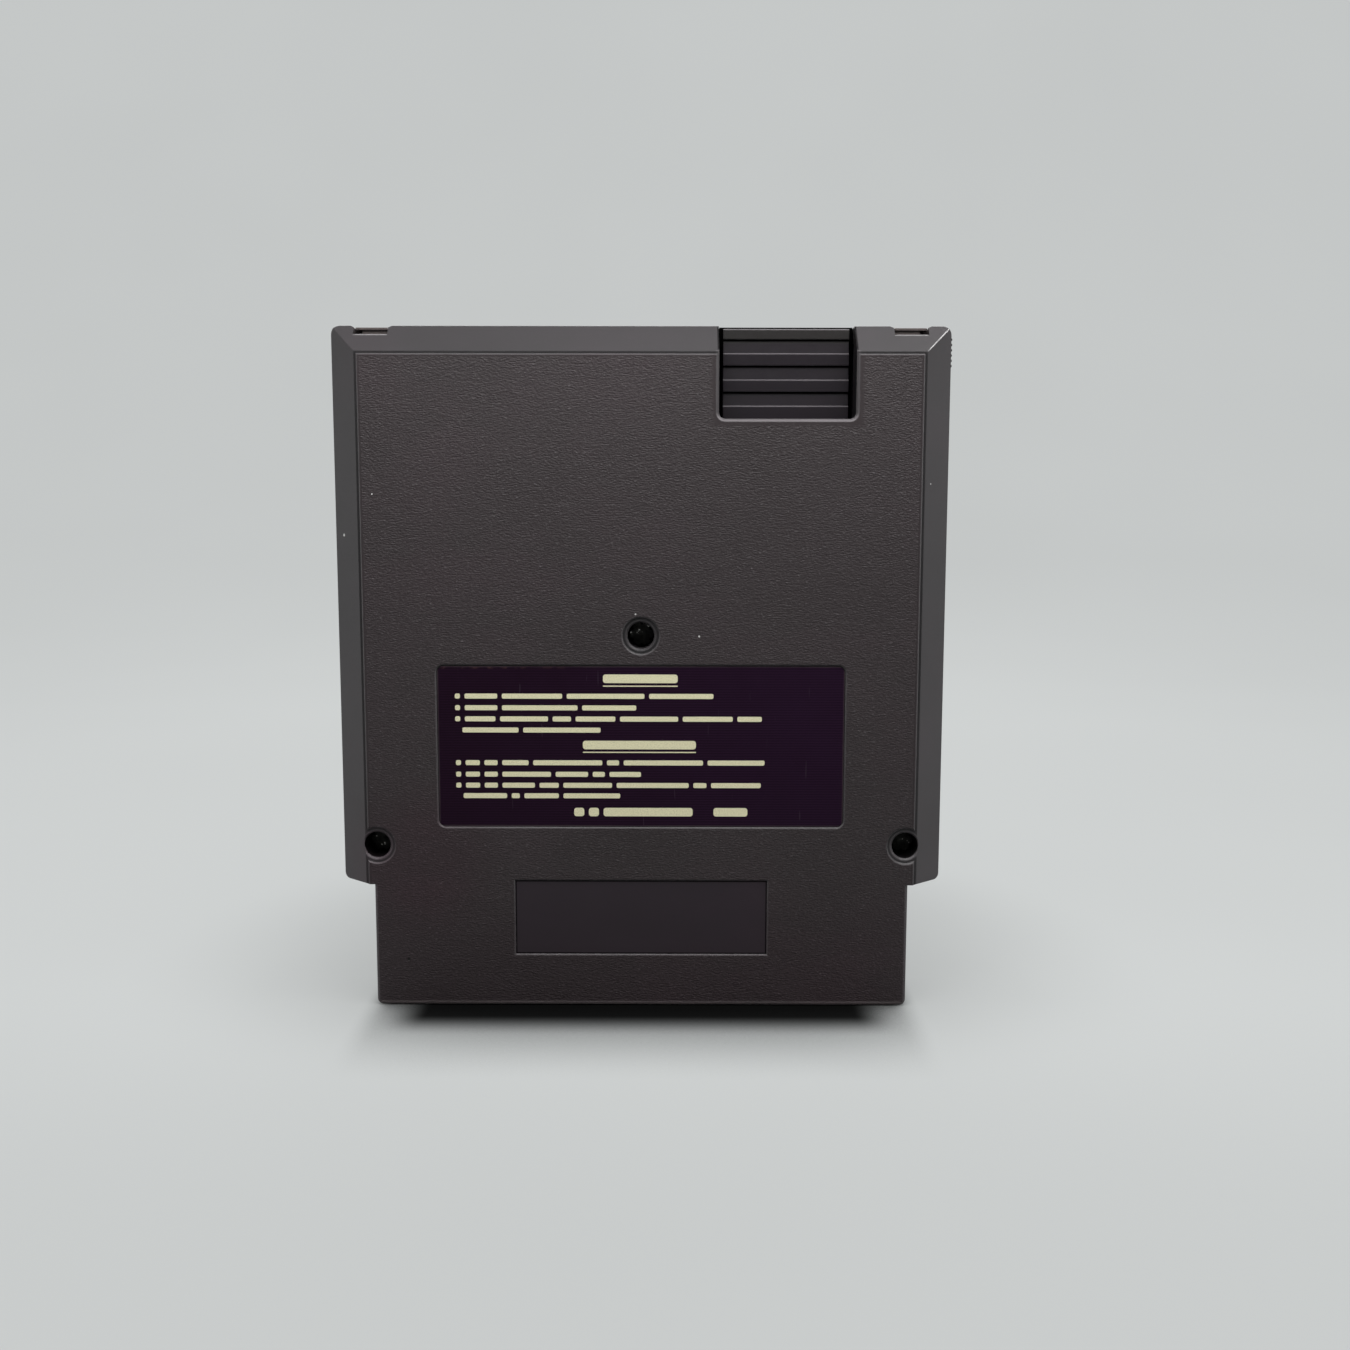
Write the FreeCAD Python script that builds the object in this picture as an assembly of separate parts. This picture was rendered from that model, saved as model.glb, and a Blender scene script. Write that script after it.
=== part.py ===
# Game cartridge: a two-piece moulded case, closed by two hooks and three screws, round a card-edge board.
# Millimetres. +Z runs from the open connector end, where the part stands, up to the finger-grip end.
# -Y is the rear, with the label and the screws, and +Y is the front. The halves meet in the plane y = 0.
import FreeCAD
import Part
import math
import os

from FreeCAD import Vector

# Case
case_width = 120.0
case_height = 134.0
case_depth = 17.0
wing_overhang = 7.0
wing_height = 24.8
wall = 2.0
mouth_wall = 3.0
outline_radius = 1.2
top_corner_radius = 1.8
seam_edge = 0.15
connector_edge_radius = 0.8

# Rear bevels and the raised field between them
bevel_inset = 5.4
bevel_rise = 4.7
bevel_edge_radius = 0.3
field_step = 0.4
field_margin = 0.45
field_edge = 0.25

# Front half
front_bevel = 1.5
front_top_radius = 2.5
front_label_width = 78.5
front_label_margin = 7.5
front_label_bottom = 40.0
front_label_depth = 0.35
front_label_wrap = 1.6
strip_gap = 5.0
strip_groove_pitch = 3.6
strip_groove_width = 1.8
strip_groove_depth = 0.7
arrow_height = 7.0
arrow_width = 9.0
arrow_bottom = 12.0
arrow_depth = 0.3

# Lap joint between the halves
lap_height = 1.2
lap_thickness = 0.95
lap_clearance = 0.1
lap_start = 2.0

# Finger notch in the rear half and the ribbed grip of the front half that stands in it
notch_offset = 15.0
notch_width = 26.2
notch_depth = 18.0
notch_radius = 1.2
notch_wall = 1.4
notch_edge = 0.6
notch_wall_end = 2.6
grip_gap = 0.9
grip_face_drop = 5.7
rib_pitch = 5.0
rib_height = 2.4
rib_depth = 0.5
rib_edge = 0.3
rib_count = 4
rib_top_drop = 0.4
grip_plate = 1.9
grip_floor_gap = 0.25
grip_flange_drop = 1.4
grip_flange_gap = 0.15
grip_flange_lap = 0.6
grip_web = 1.5
grip_tail = 1.6

# Hooks along the top edge
hook_edge = 7.9
hook_notch_width = 6.6
hook_notch_depth = 1.75
hook_notch_edge = 0.4
hook_notch_flare = 0.38
hook_notch_run = 0.8
hook_width = 5.0
hook_roof = 0.45
hook_roof_drop = 0.35
hook_reach = 3.2
hook_setback = 0.4
hook_nose = 1.0
hook_nose_drop = 1.0
hook_clearance = 0.2
hook_ledge = 2.2

# Fine serration high on one side
tooth_count = 6
tooth_pitch = 1.0
tooth_proud = 0.2
tooth_base = 0.7
tooth_top_margin = 2.5

# Screws and their bosses
screw_hole = 5.2
screw_ring = 7.0
screw_edge = 0.3
screw_shank = 2.5
screw_length = 6.8
screw_head = 4.5
screw_head_height = 1.6
screw_lobe_depth = 0.45
screw_lobe_angle = 11.5
screw_fit = 0.1
screw_clearance = 0.8
low_screw_edge = 7.7
low_screw_height = 32.7
top_screw_above_label = 5.8
boss_wall = 1.2
boss_floor = 1.2
boss_end = 0.2
post_wall = 1.9
gusset_length = 4.0
gusset_width = 1.2

# Rear label and the smooth moulded panel under it
label_width = 79.6
label_height = 31.8
label_bottom = 36.6
label_radius = 1.3
label_thickness = 0.15
label_recess = 0.4
label_clearance = 0.15
rim_edge = 0.25
panel_width = 50.0
panel_height = 15.0
panel_bottom = 10.6
panel_depth = 0.3

# Circuit board and its edge contacts
board_thickness = 1.2
board_side_gap = 0.5
board_bottom = 6.5
board_top = 62.0
board_shoulder = 21.0
tongue_step = 2.2
board_edge_chamfer = 0.35
boss_notch_gap = 0.3
contact_pitch = 2.5
contact_width = 1.7
contact_bottom = 0.6
contact_length = 12.0
contact_thickness = 0.05
contact_margin = 2.3
rail_width = 2.0
rail_inset = 1.5
rail_margin = 1.0
pad_length = 5.0
stop_gap = 0.3
stop_thickness = 1.5
stop_length = 60.0

# Chips
pin_pitch = 2.54
pin_thickness = 0.25
pin_shoulder = 1.3
chip_standoff = 0.6
rom_pin_count = 28
rom_row = 15.24
rom_length = 36.8
rom_body_width = 13.7
rom_body_height = 3.6
rom_height = 49.5
rom_gap = 3.0
small_pin_count = 16
small_row = 7.62
small_length = 19.4
small_body_width = 6.4
small_body_height = 3.2
small_chip_edge = 22.5
small_chip_height = 30.0

# Capacitors and resistors
can_diameter = 4.0
can_length = 7.0
can_edge = 15.5
can_height = 31.0
bung_length = 0.6
can_lead_pitch = 1.6
lead_size = 0.5
lead_reach = 1.3
seat_gap = 0.1
ceramic_width = 4.6
ceramic_depth = 2.6
ceramic_height = 3.4
ceramic_edge = 0.7
ceramic_standoff = 0.8
ceramic_lead_pitch = 2.54
ceramic_xs = (-14.0, 6.0)
ceramic_z = 31.0
resistor_diameter = 2.0
resistor_length = 4.0
resistor_x = -4.0
resistor_zs = (27.5, 34.5)

# Derived planes and positions
half = case_width / 2
conn_half = half - wing_overhang
mouth_half = conn_half - mouth_wall
rear = -case_depth / 2
front = case_depth / 2
foot = rear + field_step
bevel_edge_y = foot + bevel_rise
rear_floor = foot + wall
front_floor = front - wall
field_half = half - bevel_inset - field_margin
field_top = case_height - bevel_inset - field_margin
board_half = mouth_half - board_side_gap
small_chip_x = board_half - small_chip_edge
can_x = can_edge - board_half
tongue_half = board_half - tongue_step
board_rear = -board_thickness / 2
board_front = board_thickness / 2
boss_face = -boss_end
seat = boss_face - boss_floor
boss_radius = screw_hole / 2 + boss_wall
post_radius = screw_shank / 2 + screw_fit / 2 + post_wall
label_top = label_bottom + label_height
low_screw_x = half - low_screw_edge
screws = [
    (0.0, label_top + label_clearance + top_screw_above_label),
    (-low_screw_x, low_screw_height),
    (low_screw_x, low_screw_height),
]
notch_left = notch_offset
notch_right = notch_offset + notch_width
notch_floor = case_height - notch_depth
grip_left = notch_left + grip_gap
grip_right = notch_right - grip_gap
grip_face = rear + grip_face_drop
grip_valley = grip_face + rib_depth
grip_back = grip_valley + grip_plate
hook_x = half - hook_edge
hook_floor = case_height - hook_notch_depth


def box(x0, x1, y0, y1, z0, z1):
    return Part.makeBox(x1 - x0, y1 - y0, z1 - z0, Vector(x0, y0, z0))


def cylinder_y(x, z, radius, y0, y1):
    return Part.makeCylinder(radius, y1 - y0, Vector(x, y0, z), Vector(0, 1, 0))


def face_of(points):
    return Part.Face(Part.makePolygon(points + [points[0]]))


def prism_x(points, x0, x1):
    return face_of([Vector(x0, y, z) for y, z in points]).extrude(Vector(x1 - x0, 0, 0))


def prism_y(points, y0, y1):
    return face_of([Vector(x, y0, z) for x, z in points]).extrude(Vector(0, y1 - y0, 0))


def prism_z(points, z0, z1):
    return face_of([Vector(x, y, z0) for x, y in points]).extrude(Vector(0, 0, z1 - z0))


def fuse_all(shapes):
    first = shapes[0]
    if len(shapes) == 1:
        return first
    return first.multiFuse(shapes[1:])


def rounded_wire(corners, y):
    """A closed wire in the plane at y through (x, z, radius) corners."""
    count = len(corners)
    stops = []
    for i in range(count):
        x, z, radius = corners[i]
        here = Vector(x, y, z)
        if radius <= 0:
            stops.append((here, None, here))
            continue
        before = corners[i - 1]
        after = corners[(i + 1) % count]
        back = (Vector(before[0], y, before[1]) - here).normalize()
        ahead = (Vector(after[0], y, after[1]) - here).normalize()
        opening = back.getAngle(ahead)
        middle = (back + ahead).normalize()
        run = radius / math.tan(opening / 2)
        centre = here + middle * (radius / math.sin(opening / 2))
        stops.append((here + back * run, centre - middle * radius, here + ahead * run))
    edges = []
    for i in range(count):
        start, bulge, end = stops[i]
        if bulge is not None:
            edges.append(Part.Arc(start, bulge, end).toShape())
        edges.append(Part.makeLine(end, stops[(i + 1) % count][0]))
    return Part.Wire(edges)


def rounded_prism(corners, y0, y1):
    return Part.Face(rounded_wire(corners, y0)).extrude(Vector(0, y1 - y0, 0))


def rectangle(x0, x1, z0, z1, low_radius, high_radius):
    return [(x0, z0, low_radius), (x1, z0, low_radius), (x1, z1, high_radius), (x0, z1, high_radius)]


def case_outline(inset, low):
    """The case's T-shaped outline, moved inward by inset, with its lower end at low."""
    wide = half - inset
    narrow = conn_half - inset
    step = wing_height + inset
    top = case_height - inset
    return [
        (-narrow, low), (narrow, low), (narrow, step), (wide, step),
        (wide, top), (-wide, top), (-wide, step), (-narrow, step),
    ]


def outline_ring(outer, inner, low, y0, y1):
    inside = prism_y(case_outline(inner, low - 1), y0 - 1, y1 + 1)
    return prism_y(case_outline(outer, low), y0, y1).cut(inside)


def edges_where(shape, test):
    chosen = []
    for edge in shape.Edges:
        points = [vertex.Point for vertex in edge.Vertexes]
        points.append(edge.valueAt((edge.FirstParameter + edge.LastParameter) / 2))
        if all(test(p) for p in points):
            chosen.append(edge)
    return chosen


def connector_block(outer_y):
    """The narrow lower end of one half, between the meeting plane and outer_y, with its edges rounded."""
    y0 = min(0.0, outer_y)
    y1 = max(0.0, outer_y)
    corners = rectangle(-conn_half, conn_half, 0.0, wing_height + 1.0, outline_radius, 0.0)
    block = rounded_prism(corners, y0, y1)

    def on_rim(p):
        return abs(p.y - outer_y) < 1e-4 and p.z < wing_height + 0.9 or (
            abs(p.y - outer_y) < 1e-4 and abs(abs(p.x) - conn_half) < 1e-4
        )

    return block.makeFillet(connector_edge_radius, edges_where(block, on_rim))


def bevel_section(inset, extra):
    """Points of the rear half's cross-section, moved inward by inset: (from outside, y) pairs of one edge."""
    slope = math.hypot(bevel_inset, bevel_rise)
    side = inset
    side_y = bevel_edge_y + inset * (slope - bevel_rise) / bevel_inset
    floor_in = bevel_inset + inset * (slope - bevel_inset) / bevel_rise
    return [(side, extra), (side, side_y), (floor_in, foot + inset)]


def wide_outline(inset):
    """Corners of the case's wide part, moved inward by inset."""
    wide = half - inset
    low_radius = max(outline_radius - inset, 0.0)
    high_radius = max(top_corner_radius - inset, 0.0)
    return rectangle(-wide, wide, wing_height + inset, case_height - inset, low_radius, high_radius)


def rear_wide(inset, extra):
    """The wide, bevelled part of the rear half, moved inward by inset and run on to y = extra."""
    section = bevel_section(inset, extra)
    across = [(half - d, y) for d, y in section] + [(d - half, y) for d, y in reversed(section)]
    upward = [(y, case_height - d) for d, y in section] + [(foot + inset, 0.0), (extra, 0.0)]
    block = rounded_prism(wide_outline(inset), foot + inset, extra)
    return block.common(prism_z(across, 0.0, case_height + 1)).common(prism_x(upward, -half - 1, half + 1))


def finger_outline(grow, top, radius):
    x0 = notch_left - grow
    x1 = notch_right + grow
    z0 = notch_floor - grow
    return rectangle(x0, x1, z0, top, radius, 0.0)


def rim_flare(outline, edge):
    """The slanted rim of a shallow recess in the rear field; outline(grow) gives the recess's corners."""
    return Part.makeLoft(
        [rounded_wire(outline(edge + 0.1), rear - 0.1), rounded_wire(outline(0.0), rear + edge)], True, True,
    )


def finger_rim(grow):
    return finger_outline(grow, case_height + 2, notch_radius + grow)


def label_rim(grow):
    reach = label_clearance + grow
    x = label_width / 2 + reach
    radius = label_radius + reach
    return rectangle(-x, x, label_bottom - reach, label_top + reach, radius, radius)


def panel_rim(grow):
    x = panel_width / 2 + grow
    return rectangle(-x, x, panel_bottom - grow, panel_bottom + panel_height + grow, 0.0, 0.0)


def screw_recess(x, z):
    """The stepped recess that a screw sits in, turned about the screw's axis."""
    ring = screw_ring / 2
    hole = screw_hole / 2
    through = (screw_shank + screw_clearance) / 2
    above = rear - 1.0
    profile = [
        (0.0, above), (ring + screw_edge, above), (ring + screw_edge, rear), (ring, rear + screw_edge),
        (ring, foot), (hole + screw_edge, foot), (hole, foot + screw_edge), (hole, seat),
        (through, seat), (through, boss_face + 0.5), (0.0, boss_face + 0.5),
    ]
    face = face_of([Vector(r, y, 0) for r, y in profile])
    tool = face.revolve(Vector(0, 0, 0), Vector(0, 1, 0), 360)
    return tool.translated(Vector(x, 0, z))


def teeth(y0, y1):
    combs = []
    for i in range(tooth_count):
        z = case_height - tooth_top_margin - i * tooth_pitch
        profile = [
            (half - 0.3, z - tooth_base / 2), (half, z - tooth_base / 2), (half + tooth_proud, z - 0.12),
            (half + tooth_proud, z + 0.12), (half, z + tooth_base / 2), (half - 0.3, z + tooth_base / 2),
        ]
        combs.append(prism_y(profile, y0, y1))
    return combs


def build_rear_shell():
    wide = rear_wide(0.0, 0.0)

    def on_bevel(p):
        return p.y < bevel_edge_y + 1e-3 and p.z > wing_height + 0.5 and p.y > foot + 0.01 or (
            abs(p.y - bevel_edge_y) < 1e-3 and p.z > wing_height - 0.1
        )

    def ridge(p):
        return on_bevel(p) or abs(p.y - foot) < 1e-3 and abs(abs(p.x) - (half - bevel_inset)) < 1e-3 and (
            abs(p.z - (case_height - bevel_inset)) < 1e-3
        )

    wide = wide.makeFillet(bevel_edge_radius, edges_where(wide, ridge))
    plate = box(-field_half, field_half, rear, foot, wing_height, field_top)

    def on_field_edge(p):
        return abs(p.y - rear) < 1e-4

    rim = [e for e in edges_where(plate, on_field_edge) if e.BoundBox.ZMax > wing_height + 0.1]
    plate = plate.makeChamfer(field_edge, rim)
    body = fuse_all([wide, connector_block(rear), plate]).removeSplitter()

    def on_seam(p):
        return abs(p.y) < 1e-4

    body = body.makeChamfer(seam_edge, edges_where(body, on_seam))

    cavity = rear_wide(wall, 1.0).fuse(
        box(-mouth_half, mouth_half, rear_floor, 1.0, -1.0, wing_height + wall + 1.0)
    )
    shell = body.cut(cavity)

    inner = [cylinder_y(x, z, boss_radius, rear, boss_face) for x, z in screws]
    notch_outside = finger_outline(notch_wall, case_height, notch_radius + notch_wall)
    inner.append(rounded_prism(notch_outside, rear, -notch_wall_end))
    for side in (-1, 1):
        x0 = side * hook_x - hook_notch_width / 2 - 1.0
        x1 = side * hook_x + hook_notch_width / 2 + 1.0
        inner.append(box(x0, x1, rear, -lap_clearance, hook_floor - hook_ledge, case_height))
        x0 = side * (board_half - rail_inset) - rail_width / 2
        for low in (board_shoulder + rail_margin, board_top - rail_margin - pad_length):
            inner.append(box(x0, x0 + rail_width, foot + 0.5, board_rear, low, low + pad_length))
    shell = fuse_all([shell] + [piece.common(body) for piece in inner])

    cuts = [screw_recess(x, z) for x, z in screws]
    cuts.append(rounded_prism(finger_outline(0.0, case_height + 2, notch_radius), rear - 1, 2.0))
    cuts.append(rim_flare(finger_rim, notch_edge))
    cuts.append(rounded_prism(label_rim(0.0), rear - 1, rear + label_recess))
    cuts.append(rim_flare(label_rim, rim_edge))
    cuts.append(rounded_prism(panel_rim(0.0), rear - 1, rear + panel_depth))
    cuts.append(rim_flare(panel_rim, rim_edge))
    lip = bevel_edge_y - hook_notch_depth * bevel_rise / bevel_inset
    drop = hook_notch_edge * bevel_inset / math.hypot(bevel_inset, bevel_rise)
    slip = hook_notch_edge * bevel_rise / math.hypot(bevel_inset, bevel_rise)
    hook_profile = [
        (1.0, hook_floor), (lip + hook_notch_edge, hook_floor), (lip - slip, hook_floor - drop),
        (lip - 3.0, hook_floor - drop), (lip - 3.0, case_height + 1), (1.0, case_height + 1),
    ]
    for side in (-1, 1):
        centre = side * hook_x
        x0 = centre - hook_notch_width / 2
        x1 = centre + hook_notch_width / 2
        cuts.append(prism_x(hook_profile, x0, x1))
        flare = [
            (x0, case_height - hook_notch_flare), (x1, case_height - hook_notch_flare),
            (x1 + hook_notch_run, case_height), (x1 + hook_notch_run, case_height + 1),
            (x0 - hook_notch_run, case_height + 1), (x0 - hook_notch_run, case_height),
        ]
        cuts.append(prism_y(flare, rear, 1.0))
        nose_y = hook_setback - hook_reach
        cuts.append(
            box(
                x0, x1, nose_y - hook_clearance, nose_y + hook_nose + hook_clearance,
                hook_floor - hook_nose_drop - hook_clearance, hook_floor + 1.0,
            )
        )
    groove_out = wall - lap_thickness - lap_clearance
    groove_in = wall + lap_clearance
    groove_low = lap_start - lap_clearance
    cuts.append(outline_ring(groove_out, groove_in, groove_low, -lap_height - lap_clearance, 1.0))
    shell = shell.cut(cuts)
    shell = fuse_all([shell] + teeth(bevel_edge_y + 0.3, -seam_edge))
    return shell.removeSplitter()


def front_profile(inset):
    """The front half's upright cross-section, moved inward by inset, as a wire in the plane x = 0."""
    top = case_height - inset
    face_y = front - inset
    radius = front_top_radius - inset
    corner = Part.Arc(
        Vector(0, face_y, top - radius),
        Vector(0, face_y - radius * (1 - math.sqrt(0.5)), top - radius * (1 - math.sqrt(0.5))),
        Vector(0, face_y - radius, top),
    ).toShape()
    path = [
        Part.makeLine(Vector(0, -5, 0), Vector(0, face_y, 0)),
        Part.makeLine(Vector(0, face_y, 0), Vector(0, face_y, top - radius)),
        corner,
        Part.makeLine(Vector(0, face_y - radius, top), Vector(0, -5, top)),
        Part.makeLine(Vector(0, -5, top), Vector(0, -5, 0)),
    ]
    return Part.Wire(path)


def front_profile_prism(inset, x0, x1):
    return Part.Face(front_profile(inset)).extrude(Vector(x1 - x0, 0, 0)).translated(Vector(x0, 0, 0))


def build_grip():
    """The finger grip: a ribbed plate with a wider flange behind it, on two webs."""
    low = notch_floor - grip_tail
    profile = [(grip_back, low), (grip_valley, low)]
    for i in reversed(range(rib_count)):
        top = case_height - i * rib_pitch
        bottom = top - rib_height
        if i == rib_count - 1:
            bottom = notch_floor + grip_floor_gap
        if i == 0:
            top = case_height - rib_top_drop
        profile.extend([(grip_valley, bottom), (grip_face, bottom)])
        profile.extend([(grip_face, top - rib_edge), (grip_face + rib_edge, top)])
    profile.append((grip_back, case_height - rib_top_drop))
    pieces = [prism_x(profile, grip_left, grip_right)]
    x0 = notch_left + grip_flange_gap
    x1 = notch_right - grip_flange_gap
    pieces.append(box(x0, x1, grip_face + grip_flange_drop, grip_flange_lap, low, case_height))
    for x in (grip_left, grip_right - grip_web):
        pieces.append(box(x, x + grip_web, grip_back - 0.2, front_floor + 0.2, low, case_height - wall + 0.2))
    return pieces


def build_front_shell():
    across = [
        (-half, 0.0), (-half, front - front_bevel), (-half + front_bevel, front),
        (half - front_bevel, front), (half, front - front_bevel), (half, 0.0),
    ]
    wide = rounded_prism(wide_outline(0.0), 0.0, front)
    wide = wide.common(prism_z(across, 0.0, case_height + 1))
    wide = wide.common(front_profile_prism(0.0, -half - 1, half + 1))
    body = wide.fuse(connector_block(front))
    cavity = prism_y(case_outline(wall, wing_height + 0.5), -1.0, front_floor).fuse(
        box(-mouth_half, mouth_half, -1.0, front_floor, -1.0, wing_height + wall + 1.0)
    )
    shell = body.cut(cavity)

    inner = []
    for x, z in screws:
        inner.append(cylinder_y(x, z, post_radius, boss_face, front_floor + 0.3))
    x, z = screws[0]
    reach = post_radius + gusset_length
    thick = gusset_width / 2
    gusset_face = front_floor / 2
    inner.append(box(x - reach, x + reach, gusset_face, front_floor + 0.3, z - thick, z + thick))
    inner.append(box(x - thick, x + thick, gusset_face, front_floor + 0.3, z - reach, z + reach))
    for side in (-1, 1):
        rail = side * (board_half - rail_inset)
        inner.append(
            box(
                rail - rail_width / 2, rail + rail_width / 2, board_front, front_floor + 0.3,
                board_shoulder + rail_margin, board_top - rail_margin,
            )
        )
    stop = board_top + stop_gap
    inner.append(
        box(-stop_length / 2, stop_length / 2, board_rear, front_floor + 0.3, stop, stop + stop_thickness)
    )
    inner.extend(build_grip())
    inner.append(outline_ring(wall - lap_thickness, wall, lap_start, -lap_height, 0.5))
    for side in (-1, 1):
        inside = hook_x - hook_notch_width / 2 + hook_clearance
        x0 = min(side * inside, side * (inside + hook_width))
        x1 = max(side * inside, side * (inside + hook_width))
        roof = case_height - hook_roof_drop - hook_roof
        roof_x0 = side * hook_x - hook_notch_width / 2 + hook_clearance
        roof_x1 = side * hook_x + hook_notch_width / 2 - hook_clearance
        nose_y = hook_setback - hook_reach
        inner.append(box(roof_x0, roof_x1, -hook_reach, 0.5, roof, roof + hook_roof))
        inner.append(box(x0, x1, nose_y, 0.5, hook_floor + hook_clearance, roof + 0.1))
        inner.append(box(x0, x1, nose_y, nose_y + hook_nose, hook_floor - hook_nose_drop, roof))
    shell = fuse_all([shell] + inner)

    cuts = []
    pilot = screw_length - boss_floor + 0.6
    for x, z in screws:
        cuts.append(cylinder_y(x, z, (screw_shank + screw_fit) / 2, boss_face - 1.0, boss_face + pilot))
    x0 = -half + front_label_margin
    x1 = x0 + front_label_width
    frame = box(x0, x1, front_label_wrap, front + 1, front_label_bottom, case_height + 1)
    cuts.append(frame.cut(front_profile_prism(front_label_depth, x0 - 1, x1 + 1)))
    groove_low = front_label_bottom + strip_groove_pitch - strip_groove_width
    groove_y = front - strip_groove_depth
    count = int((case_height - front_top_radius - groove_low) // strip_groove_pitch)
    for i in range(count):
        z = groove_low + i * strip_groove_pitch
        cuts.append(box(x1 + strip_gap, half + 1, groove_y, front + 1, z, z + strip_groove_width))
    arrow_top = arrow_bottom + arrow_height
    arrow = [(-arrow_width / 2, arrow_top), (0.0, arrow_bottom), (arrow_width / 2, arrow_top)]
    cuts.append(prism_y(arrow, front - arrow_depth, front + 1))
    shell = shell.cut(cuts)
    shell = fuse_all([shell] + teeth(0.0, front - front_bevel - 1.0))
    return shell.removeSplitter()


def build_label():
    face = rear + label_recess
    x = label_width / 2
    outline = rectangle(-x, x, label_bottom, label_top, label_radius, label_radius)
    return rounded_prism(outline, face - label_thickness, face)


def build_screw(x, z):
    """A screw whose round head has six lobed notches; the head rests on the boss floor."""
    outer = screw_head / 2
    waist = outer - screw_lobe_depth
    star = []
    for i in range(6):
        middle = 60.0 * i + 30.0
        steps = [
            (outer, -30.0), (outer, -screw_lobe_angle), (waist, -screw_lobe_angle / 3),
            (waist, screw_lobe_angle / 3), (outer, screw_lobe_angle),
        ]
        for radius, turn in steps:
            angle = math.radians(middle + turn)
            star.append((radius * math.cos(angle), radius * math.sin(angle)))
    head = prism_y(star, seat - screw_head_height, seat)
    shank = cylinder_y(0.0, 0.0, screw_shank / 2, seat - 0.5, seat + screw_length)
    return head.fuse(shank).removeSplitter().translated(Vector(x, 0, z))


def build_board():
    points = [
        (-tongue_half, board_bottom), (tongue_half, board_bottom), (tongue_half, board_shoulder),
        (board_half, board_shoulder), (board_half, board_top), (-board_half, board_top),
        (-board_half, board_shoulder), (-tongue_half, board_shoulder),
    ]
    board = prism_y(points, board_rear, board_front)
    cuts = []
    for x, z in screws[1:]:
        cuts.append(cylinder_y(x, z, boss_radius + boss_notch_gap, board_rear - 1, board_front + 1))
    for side in (-1, 1):
        face = side * board_thickness / 2
        bevel = [
            (face, board_bottom + board_edge_chamfer * 2), (face - side * board_edge_chamfer, board_bottom),
            (face - side * board_edge_chamfer, board_bottom - 1), (face + side, board_bottom - 1),
            (face + side, board_bottom + board_edge_chamfer * 2),
        ]
        cuts.append(prism_x(bevel, -board_half, board_half))
    return board.cut(cuts)


def build_contacts(y0, y1):
    count = int((2 * tongue_half - 2 * contact_margin) // contact_pitch)
    low = board_bottom + board_edge_chamfer * 2 + contact_bottom
    pads = []
    for i in range(count):
        x = (i - (count - 1) / 2) * contact_pitch
        pads.append(box(x - contact_width / 2, x + contact_width / 2, y0, y1, low, low + contact_length))
    return pads


def build_chip(x, z, pins, row, length, width, height):
    """A dual in-line chip lying along X, its leads standing on the board. Returns its body and its leads."""
    low = board_rear - chip_standoff
    top = low - height
    mid = low - height / 2
    near = mid + 0.18
    far = mid - 0.18
    section = [
        (low, z - width / 2 + 0.25), (near, z - width / 2), (far, z - width / 2), (top, z - width / 2 + 0.3),
        (top, z + width / 2 - 0.3), (far, z + width / 2), (near, z + width / 2), (low, z + width / 2 - 0.25),
    ]
    body = prism_x(section, x - length / 2, x + length / 2)
    index = [(top - 0.5, z - 1.2), (top + 0.5, z - 1.2), (top + 0.5, z + 1.2), (top - 0.5, z + 1.2)]
    body = body.cut(prism_x(index, x - length / 2 - 1, x - length / 2 + 1.2))
    leads = []
    for side in (-1, 1):
        row_z = z + side * row / 2
        body_z = z + side * width / 2
        out = row_z + side * pin_thickness / 2
        inside = row_z - side * pin_thickness / 2
        upper = mid - pin_thickness / 2
        under = mid + pin_thickness / 2
        bend = [
            (upper, body_z), (upper, out), (board_rear, out),
            (board_rear, inside), (under, inside), (under, body_z),
        ]
        for i in range(pins // 2):
            pin_x = x + (i - (pins / 2 - 1) / 2) * pin_pitch
            leads.append(prism_x(bend, pin_x - pin_shoulder / 2, pin_x + pin_shoulder / 2))
    return body, leads


def bent_lead(x, y, z, side):
    """A wire that leaves along X at (x, y, z), turns and stands on the board."""
    thick = lead_size / 2
    out = x + side * lead_reach
    inside = out - side * lead_size
    bend = [
        (x, y - thick), (out, y - thick), (out, board_rear),
        (inside, board_rear), (inside, y + thick), (x, y + thick),
    ]
    return prism_z(bend, z - thick, z + thick)


def build_can():
    """A small lying electrolytic capacitor: can, rubber bung and two bent leads."""
    radius = can_diameter / 2
    axis = board_rear - seat_gap - radius
    end = can_x + can_length
    can = Part.makeCylinder(radius, can_length, Vector(can_x, axis, can_height), Vector(1, 0, 0))
    bung = Part.makeCylinder(radius - 0.35, bung_length, Vector(end, axis, can_height), Vector(1, 0, 0))
    leads = []
    for side in (-1, 1):
        leads.append(bent_lead(end + bung_length, axis, can_height + side * can_lead_pitch / 2, 1))
    return can, bung, leads


def build_ceramics():
    bodies = []
    leads = []
    low = board_rear - ceramic_standoff
    thick = lead_size / 2
    for x in ceramic_xs:
        block = box(
            x - ceramic_width / 2, x + ceramic_width / 2, low - ceramic_height, low,
            ceramic_z - ceramic_depth / 2, ceramic_z + ceramic_depth / 2,
        )

        def above(p):
            return p.y < low - 0.01

        bodies.append(block.makeChamfer(ceramic_edge, edges_where(block, above)))
        for side in (-1, 1):
            x0 = x + side * ceramic_lead_pitch / 2 - thick
            leads.append(box(x0, x0 + lead_size, low, board_rear, ceramic_z - thick, ceramic_z + thick))
    return bodies, leads


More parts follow.
